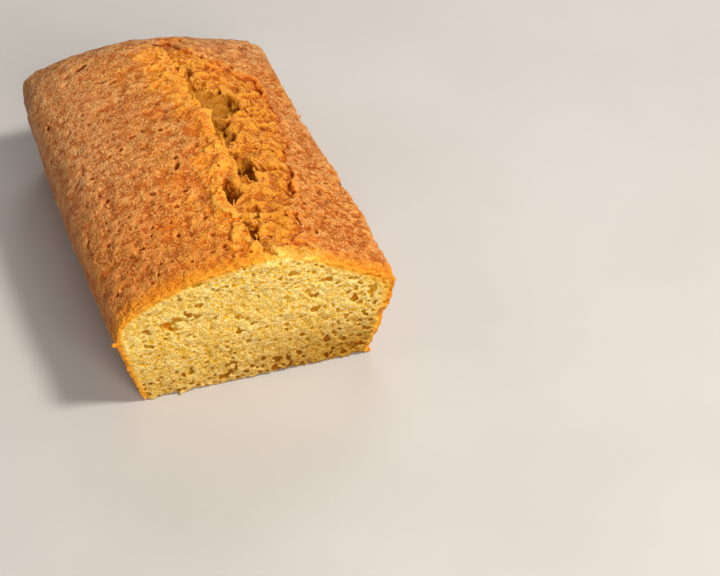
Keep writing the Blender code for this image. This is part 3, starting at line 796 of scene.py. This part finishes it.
# =====================================================================
# 4. Finish
# =====================================================================
class Nodes:
    """Short ways to write a material's nodes."""

    def __init__(self, name):
        self.mat = bpy.data.materials.new(name)
        self.mat.use_nodes = True
        self.tree = self.mat.node_tree
        self.shader = self.tree.nodes["Principled BSDF"]

    def put(self, kind, **settings):
        node = self.tree.nodes.new(kind)
        for key, value in settings.items():
            setattr(node, key, value)
        return node

    def join(self, value, socket):
        if isinstance(value, bpy.types.NodeSocket):
            self.tree.links.new(value, socket)
        elif value is not None:
            socket.default_value = value

    def attr(self, name):
        return self.put("ShaderNodeAttribute", attribute_name=name).outputs["Fac"]

    def place(self):
        if not hasattr(self, "_place"):
            self._place = self.put("ShaderNodeTexCoord").outputs["Object"]
        return self._place

    def noise(self, size_mm, detail=2.0, rough=0.5, warp=0.0, vector=None, kind="FBM"):
        node = self.put("ShaderNodeTexNoise", noise_dimensions="3D", noise_type=kind)
        self.join(vector or self.place(), node.inputs["Vector"])
        node.inputs["Scale"].default_value = 1000.0 / size_mm
        node.inputs["Detail"].default_value = detail
        node.inputs["Roughness"].default_value = rough
        node.inputs["Distortion"].default_value = warp
        return node.outputs["Fac"]

    def warp(self, size_mm, by_mm):
        """The place, pushed about by noise."""
        node = self.put("ShaderNodeTexNoise", noise_dimensions="3D")
        self.join(self.place(), node.inputs["Vector"])
        node.inputs["Scale"].default_value = 1000.0 / size_mm
        node.inputs["Detail"].default_value = 2.0
        add = self.put("ShaderNodeVectorMath", operation="MULTIPLY_ADD")
        self.join(node.outputs["Color"], add.inputs[0])
        add.inputs[1].default_value = (by_mm * MM,) * 3
        self.join(self.place(), add.inputs[2])
        return add.outputs[0]

    def cells_of(self, size_mm, vector):
        """Distance to the nearest cell's middle, and a number each cell keeps."""
        node = self.put("ShaderNodeTexVoronoi", voronoi_dimensions="3D", feature="F1")
        self.join(vector, node.inputs["Vector"])
        node.inputs["Scale"].default_value = 1000.0 / size_mm
        split = self.put("ShaderNodeSeparateColor")
        self.join(node.outputs["Color"], split.inputs[0])
        return node.outputs["Distance"], split.outputs[0]

    def math(self, op, a, b=None, c=None, clamp=False):
        node = self.put("ShaderNodeMath", operation=op, use_clamp=clamp)
        for k, v in enumerate((a, b, c)):
            if v is not None:
                self.join(v, node.inputs[k])
        return node.outputs[0]

    def step(self, value, a, b, lo=0.0, hi=1.0):
        node = self.put("ShaderNodeMapRange", interpolation_type="SMOOTHSTEP", clamp=True)
        self.join(value, node.inputs["Value"])
        if a > b:
            a, b, lo, hi = b, a, hi, lo
        for key, v in zip(("From Min", "From Max", "To Min", "To Max"), (a, b, lo, hi)):
            node.inputs[key].default_value = v
        return node.outputs["Result"]

    def mix(self, share, a, b, blend="MIX"):
        node = self.put("ShaderNodeMix", data_type="RGBA", blend_type=blend, clamp_factor=True)
        self.join(share, node.inputs[0])
        for value, socket in ((a, node.inputs[6]), (b, node.inputs[7])):
            self.join(value if isinstance(value, bpy.types.NodeSocket) else (*value, 1.0), socket)
        return node.outputs[2]

    def bump(self, height, distance_mm, strength=1.0, below=None):
        node = self.put("ShaderNodeBump")
        node.inputs["Strength"].default_value = strength
        node.inputs["Distance"].default_value = distance_mm * MM
        self.join(height, node.inputs["Height"])
        if below is not None:
            self.join(below, node.inputs["Normal"])
        return node.outputs["Normal"]


def cake_material():
    n = Nodes("cake")
    skin, hollow, torn, warm = n.attr("skin"), n.attr("hollow"), n.attr("torn"), n.attr("warm")
    sink, hole_shade, behind, wall = n.attr("sink"), n.attr("hole_shade"), n.attr("behind"), n.attr("wall")
    height, rust, bulge, painted_sheen, lump = n.attr("height"), n.attr("rust"), n.attr("bulge"), n.attr("painted_sheen"), n.attr("lump")
    bent = n.warp(2.4, 0.45)
    cellsA, idA = n.cells_of(1.55, bent)
    cellsB, idB = n.cells_of(0.95, bent)
    cellsC, idC = n.cells_of(0.62, bent)
    fine = n.noise(1.0, 3.0, 0.70)
    mid_ = n.noise(2.8, 3.0, 0.6)
    blot = n.noise(11.0, 4.0, 0.6)
    # fine grain plus the real relief: 0 in hollows, 1 on bumps; colours mixed on it paint hollows in shade and bumps in
    # light, along with each grain's own tone
    grit = n.math("ADD", n.math("MULTIPLY", cellsB, -1.30), n.math("MULTIPLY", cellsC, -0.40))
    grit = n.math("ADD", grit, n.math("MULTIPLY", cellsA, -0.60))
    grit = n.math("ADD", grit, n.math("MULTIPLY", idB, 0.45))
    grit = n.math("ADD", grit, n.math("MULTIPLY", fine, 0.55))
    relief = n.math("ADD", n.math("ADD", grit, 0.76), n.math("MULTIPLY", bulge, 0.24))
    relief_light_and_tone = n.step(relief, -0.46, 0.46)
    patch = n.noise(5.0, 4.0, 0.62)
    # the crust is smooth in some places, grainy in others; its light and dark colours follow the grains, bumps and
    # lumps as painted light and painted shade, along with patches of its own tone
    grainy = n.step(n.noise(7.0, 3.0, 0.6), 0.38, 0.62, 0.35, 1.0)
    crusty = n.math("MULTIPLY", n.math("ADD", grit, 0.76), grainy)
    crusty = n.math("ADD", crusty, n.math("MULTIPLY", n.math("SUBTRACT", patch, 0.5), 2.0))
    crusty = n.math("ADD", crusty, n.math("ADD", n.math("MULTIPLY", bulge, 0.26), n.math("MULTIPLY", lump, 0.20)))
    # painted light on bumps and painted shade in hollows, mixed with the crust's own tone patches
    crust_light_and_tone = n.step(crusty, -0.54, 0.54)

    # --- crumb: pale fine walls round deeper yellow pores; the pores are painted darker, partly their own deeper yellow and partly painted shade, and the pale dots are partly paler crumb and partly painted highlight
    pore1 = n.math("MULTIPLY", n.step(cellsA, 0.50, 0.25), n.step(idA, 0.66, 0.86))
    pore2 = n.math("MULTIPLY", n.step(cellsB, 0.50, 0.20), n.step(idB, 0.22, 0.08))
    pore = n.math("MAXIMUM", pore1, pore2)
    crumb = n.mix(relief_light_and_tone, (0.75, 0.375, 0.002), (0.89, 0.67, 0.235))
    crumb = n.mix(n.math("MULTIPLY", n.math("MULTIPLY", n.step(cellsC, 0.46, 0.16), n.step(idC, 0.50, 0.34)), 0.80), crumb, (0.96, 0.83, 0.52))
    crumb = n.mix(n.math("MULTIPLY", n.step(blot, 0.42, 0.66), 0.35), crumb, (0.80, 0.43, 0.012))
    crumb = n.mix(n.math("MULTIPLY", pore, 0.42), crumb, (0.70, 0.31, 0.001))
    # pores and hollows of the cut painted darker: partly the crumb's own deeper colour, partly painted shade, and
    # darker still towards the bottom as painted shade
    deep = n.mix(n.step(height, 30.0, 2.0), n.mix(relief_light_and_tone, (0.52, 0.235, 0.004), (0.76, 0.42, 0.035)), (0.42, 0.140, 0.001))
    crumb = n.mix(n.step(hollow, 0.15, 0.9, 0.0, 0.9), crumb, deep)
    # painted shade over the cut's lower part, strongest at the right
    crumb = n.mix(n.attr("cut_painted_shade"), crumb, (0.56, 0.42, 0.18), "MULTIPLY")

    # --- baked top: grains of light brown in a darker skin; small pits painted dark as shade
    grain = n.math("MULTIPLY", n.step(cellsA, 0.60, 0.20), n.step(idA, 0.42, 0.80))
    grain2 = n.math("MULTIPLY", n.step(cellsB, 0.55, 0.18), n.step(idB, 0.46, 0.80))
    grain = n.math("MAXIMUM", grain, n.math("MULTIPLY", grain2, 0.9))
    grain = n.math("MULTIPLY", grain, n.step(mid_, 0.30, 0.62, 0.45, 1.0))
    pit_shade = n.math("MULTIPLY", n.step(cellsB, 0.36, 0.12), n.step(idB, 0.20, 0.10))
    ground = n.mix(crust_light_and_tone, (0.385, 0.075, 0.003), (0.68, 0.265, 0.050))
    ground = n.mix(n.math("MULTIPLY", n.step(patch, 0.53, 0.68), 0.40), ground, (0.70, 0.31, 0.070))
    ground = n.mix(n.math("MULTIPLY", n.step(patch, 0.47, 0.32), 0.45), ground, (0.39, 0.082, 0.005))
    ground = n.mix(n.math("MULTIPLY", n.step(blot, 0.40, 0.68), 0.35), ground, (0.46, 0.105, 0.010))
    top = n.mix(n.math("MULTIPLY", n.math("MULTIPLY", grain, n.step(patch, 0.38, 0.60, 0.40, 1.0)), 0.90), ground, (0.79, 0.47, 0.175))
    # painted sheen: paler mauve over the left and far crust
    top = n.mix(n.math("MULTIPLY", n.math("MULTIPLY", painted_sheen, n.step(crust_light_and_tone, 0.0, 1.0, 0.25, 1.0)), 0.42), top, (0.66, 0.33, 0.150))
    # painted shade in the small pits
    top = n.mix(n.math("MULTIPLY", pit_shade, 0.85), top, (0.20, 0.034, 0.002))
    # painted shade in the hollows
    top = n.mix(n.step(bulge, -0.8, -2.0), top, (0.28, 0.050, 0.003))

    # painted shade in pinholes and slits
    top = n.mix(n.step(n.attr("pinhole_shade"), 0.70, 1.35), top, (0.19, 0.033, 0.002))
    # painted shade: darker and greyer towards the far end
    top = n.mix(n.step(behind, 150.0, 190.0), top, (0.84, 0.89, 0.95), "MULTIPLY")
    top = n.mix(n.attr("ruddy"), top, (0.98, 0.81, 0.48), "MULTIPLY")

    # --- the warmer crust round the split
    hot = n.mix(crust_light_and_tone, (0.62, 0.150, 0.003), (0.84, 0.325, 0.026))
    hot = n.mix(n.math("MULTIPLY", n.step(patch, 0.50, 0.34), 0.6), hot, (0.66, 0.155, 0.003))
    # painted light on the lumps' tops, painted shade between them
    hot = n.mix(n.math("MULTIPLY", n.step(lump, 0.15, 0.9), 0.5), hot, (0.88, 0.385, 0.035))
    hot = n.mix(n.math("MULTIPLY", n.step(lump, -0.05, -0.8), 0.6), hot, (0.66, 0.175, 0.003))
    hot = n.mix(n.math("MULTIPLY", grain, 0.45), hot, (0.87, 0.50, 0.14))
    # painted shade in the small pits
    hot = n.mix(n.math("MULTIPLY", pit_shade, 0.7), hot, (0.42, 0.080, 0.002))
    # painted shade in the hollows
    hot = n.mix(n.step(bulge, -0.8, -2.0), hot, (0.42, 0.085, 0.002))
    hot = n.mix(n.math("MULTIPLY", n.attr("bed"), 0.85), hot, n.mix(crust_light_and_tone, (0.38, 0.076, 0.002), (0.70, 0.265, 0.020)))
    share = n.math("ADD", warm, n.math("MULTIPLY", n.math("SUBTRACT", n.noise(5.5, 4.0, 0.68), 0.5), 1.5))
    crust = n.mix(n.step(share, 0.05, 1.15), top, hot)
    red = n.mix(crust_light_and_tone, (0.42, 0.070, 0.002), (0.74, 0.205, 0.016))
    red_share = n.math("ADD", rust, n.math("MULTIPLY", n.math("SUBTRACT", n.noise(2.6, 3.0, 0.65), 0.5), 0.9))
    crust = n.mix(n.math("MULTIPLY", n.step(red_share, 0.10, 1.00), 0.88), crust, red)

    # pale flecks, partly the crust's own and partly painted glints
    fleck_and_glint = n.math("MULTIPLY", n.step(cellsC, 0.36, 0.16), n.step(n.math("ADD", idC, n.math("MULTIPLY", warm, 0.10)), 0.86, 0.95))
    crust = n.mix(n.math("MULTIPLY", fleck_and_glint, 0.7), crust, (0.97, 0.78, 0.50))

    # --- open crumb on the crack's floor, its pores painted darker, partly their own colour and partly shade; painted shade deeper in the crack and in its holes
    rip = n.mix(relief_light_and_tone, (0.48, 0.145, 0.003), (0.82, 0.41, 0.060))
    rip = n.mix(n.math("MULTIPLY", pore, 0.6), rip, (0.46, 0.135, 0.003))
    crust = n.mix(n.step(n.math("ADD", torn, n.math("MULTIPLY", n.math("SUBTRACT", mid_, 0.5), 0.7)), 0.20, 0.80), crust, rip)
    # painted shade, olive-dark, deeper down the crack
    crust = n.mix(n.math("MULTIPLY", n.step(sink, 3.0, 7.5), 0.75), crust, (0.34, 0.105, 0.003))
    # painted shade in the holes
    crust = n.mix(n.math("MULTIPLY", n.step(hole_shade, 0.6, 2.4), 0.92), crust, (0.19, 0.030, 0.001))

    # --- tin-baked walls and underside
    tin = n.mix(crust_light_and_tone, (0.43, 0.098, 0.006), (0.70, 0.262, 0.042))
    tin = n.mix(n.math("MULTIPLY", n.step(mid_, 0.42, 0.66), 0.35), tin, (0.50, 0.135, 0.014))
    tin = n.mix(n.math("MULTIPLY", grain, 0.45), tin, (0.84, 0.42, 0.11))
    # painted shade in the small pits
    tin = n.mix(n.math("MULTIPLY", pit_shade, 0.7), tin, (0.22, 0.040, 0.003))
    crust = n.mix(n.step(n.math("ADD", wall, n.math("MULTIPLY", n.math("SUBTRACT", n.noise(9.0, 4.0, 0.65), 0.5), 22.0)), 10.0, 32.0), crust, tin)

    # --- near the cut the crust is warmer, then turns to crumb
    d = n.math("ADD", skin, n.math("MULTIPLY", n.math("SUBTRACT", n.noise(2.0, 3.0, 0.6), 0.5), 0.9))
    edge = n.step(n.math("ADD", behind, n.math("MULTIPLY", n.math("SUBTRACT", n.noise(3.0, 3.0, 0.6), 0.5), 6.0)), 12.5, 1.2)
    crust = n.mix(n.math("MULTIPLY", edge, 0.82), crust, n.mix(crust_light_and_tone, (0.72, 0.19, 0.004), (0.87, 0.32, 0.018)))
    split_end = n.math("MULTIPLY", n.attr("ledge"), n.step(n.math("ADD", behind, n.math("MULTIPLY", n.math("SUBTRACT", n.noise(5.0, 3.0, 0.6), 0.5), 10.0)), 14.0, 3.0))
    pale = n.mix(relief_light_and_tone, (0.82, 0.38, 0.014), (0.94, 0.60, 0.13))
    crust = n.mix(n.math("MULTIPLY", split_end, 0.85), crust, pale)
    rim = n.mix(n.step(d, 0.5, 2.0), n.mix(relief_light_and_tone, (0.62, 0.18, 0.006), (0.80, 0.30, 0.018)), (0.87, 0.43, 0.040))
    inner = n.mix(n.step(d, 1.0, 3.4), rim, crumb)
    on_cut = n.step(behind, 2.6, 1.2)
    face = n.math("MULTIPLY", n.step(d, 0.30, 0.90), on_cut)
    colour = n.mix(face, crust, inner)

    n.join(colour, n.shader.inputs["Base Color"])
    n.shader.inputs["Roughness"].default_value = 0.48
    n.shader.inputs["Specular IOR Level"].default_value = 0.07
    n.shader.inputs["Subsurface Weight"].default_value = 0.12
    n.shader.inputs["Subsurface Radius"].default_value = (1.0, 0.42, 0.12)
    n.shader.inputs["Subsurface Scale"].default_value = 0.0014

    rough = n.math("SUBTRACT", n.math("MULTIPLY", grit, n.math("MAXIMUM", n.math("MULTIPLY", face, 0.68), n.math("MULTIPLY", grainy, 0.82))), n.math("MULTIPLY", pore, n.step(face, 0.1, 0.9, 0.05, 0.35)))
    rough = n.math("ADD", rough, n.math("MULTIPLY", grain, n.step(face, 0.1, 0.9, 0.45, 0.0)))
    rough = n.math("SUBTRACT", rough, n.math("MULTIPLY", pit_shade, 1.3))
    normal = n.bump(rough, 0.42, 1.0)
    normal = n.bump(mid_, 1.4, 0.7, normal)
    n.join(normal, n.shader.inputs["Normal"])
    return n.mat


mesh.materials.clear()
mesh.materials.append(cake_material())

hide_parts("loaf")
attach(cake, "root")

# =====================================================================
# 5. Floor, light, camera
# =====================================================================
floor_mesh = bpy.data.meshes.new("floor")
R = 3.0
floor_mesh.from_pydata([(-R, -R, 0), (R, -R, 0), (R, R, 0), (-R, R, 0)], [], [(0, 1, 2, 3)])
floor = bpy.data.objects.new("floor", floor_mesh)
bpy.context.scene.collection.objects.link(floor)
f = Nodes("floor")
f.join(f.mix(f.step(f.noise(120.0, 3.0, 0.5), 0.3, 0.7), (0.50, 0.465, 0.425), (0.53, 0.495, 0.455)), f.shader.inputs["Base Color"])
f.shader.inputs["Roughness"].default_value = 0.55
f.shader.inputs["Specular IOR Level"].default_value = 0.3
floor_mesh.materials.append(f.mat)


def area(name, place, aim, size, watts, colour):
    light = bpy.data.lights.new(name, "AREA")
    light.shape = "RECTANGLE"
    light.size, light.size_y = size
    light.energy = watts
    light.color = colour
    ob = bpy.data.objects.new(name, light)
    ob.location = place
    ob.rotation_euler = (Vector(aim) - Vector(place)).to_track_quat("-Z", "Y").to_euler()
    bpy.context.scene.collection.objects.link(ob)
    return ob


area("window", (0.55, 1.25, 0.90), (0, 0, 0.02), (0.7, 0.5), 6.0, (0.97, 0.98, 1.0))
area("key", (0.70, -0.35, 1.15), (0, 0, 0.03), (0.26, 0.26), 16.9, (1.0, 0.975, 0.94))
area("front", (0.05, -1.3, 0.75), (0, 0, 0.03), (0.7, 0.5), 13.3, (1.0, 0.975, 0.94))
area("left", (-1.30, 0.10, 0.70), (0, 0, 0.03), (0.8, 0.6), 2.6, (0.96, 0.97, 1.0))

world = bpy.data.worlds.new("world")
bpy.context.scene.world = world
world.use_nodes = True
world.node_tree.nodes["Background"].inputs["Color"].default_value = (0.95, 0.97, 1.0, 1.0)
world.node_tree.nodes["Background"].inputs["Strength"].default_value = 0.15

camera_data = bpy.data.cameras.new("camera")
camera_data.lens = 110.0
camera_data.sensor_width = 36.0
camera_data.sensor_fit = "HORIZONTAL"
camera_data.clip_start, camera_data.clip_end = 0.05, 20.0
camera = bpy.data.objects.new("camera", camera_data)
right = (0.95262131, -0.3040307, -0.00883014)
up = (0.20061726, 0.60624459, 0.76955845)
away = (-0.22861617, -0.73486926, 0.63851533)
at = (-0.16776561 + SHIFT[0] * MM, -0.78238585 + SHIFT[1] * MM, 0.63605959)
camera.matrix_world = Matrix((
    (right[0], up[0], away[0], at[0]),
    (right[1], up[1], away[1], at[1]),
    (right[2], up[2], away[2], at[2]),
    (0.0, 0.0, 0.0, 1.0)))
bpy.context.scene.collection.objects.link(camera)
bpy.context.scene.camera = camera

scene = bpy.context.scene
scene.view_settings.view_transform = "Standard"
scene.view_settings.look = "None"
scene.view_settings.exposure = 0.0
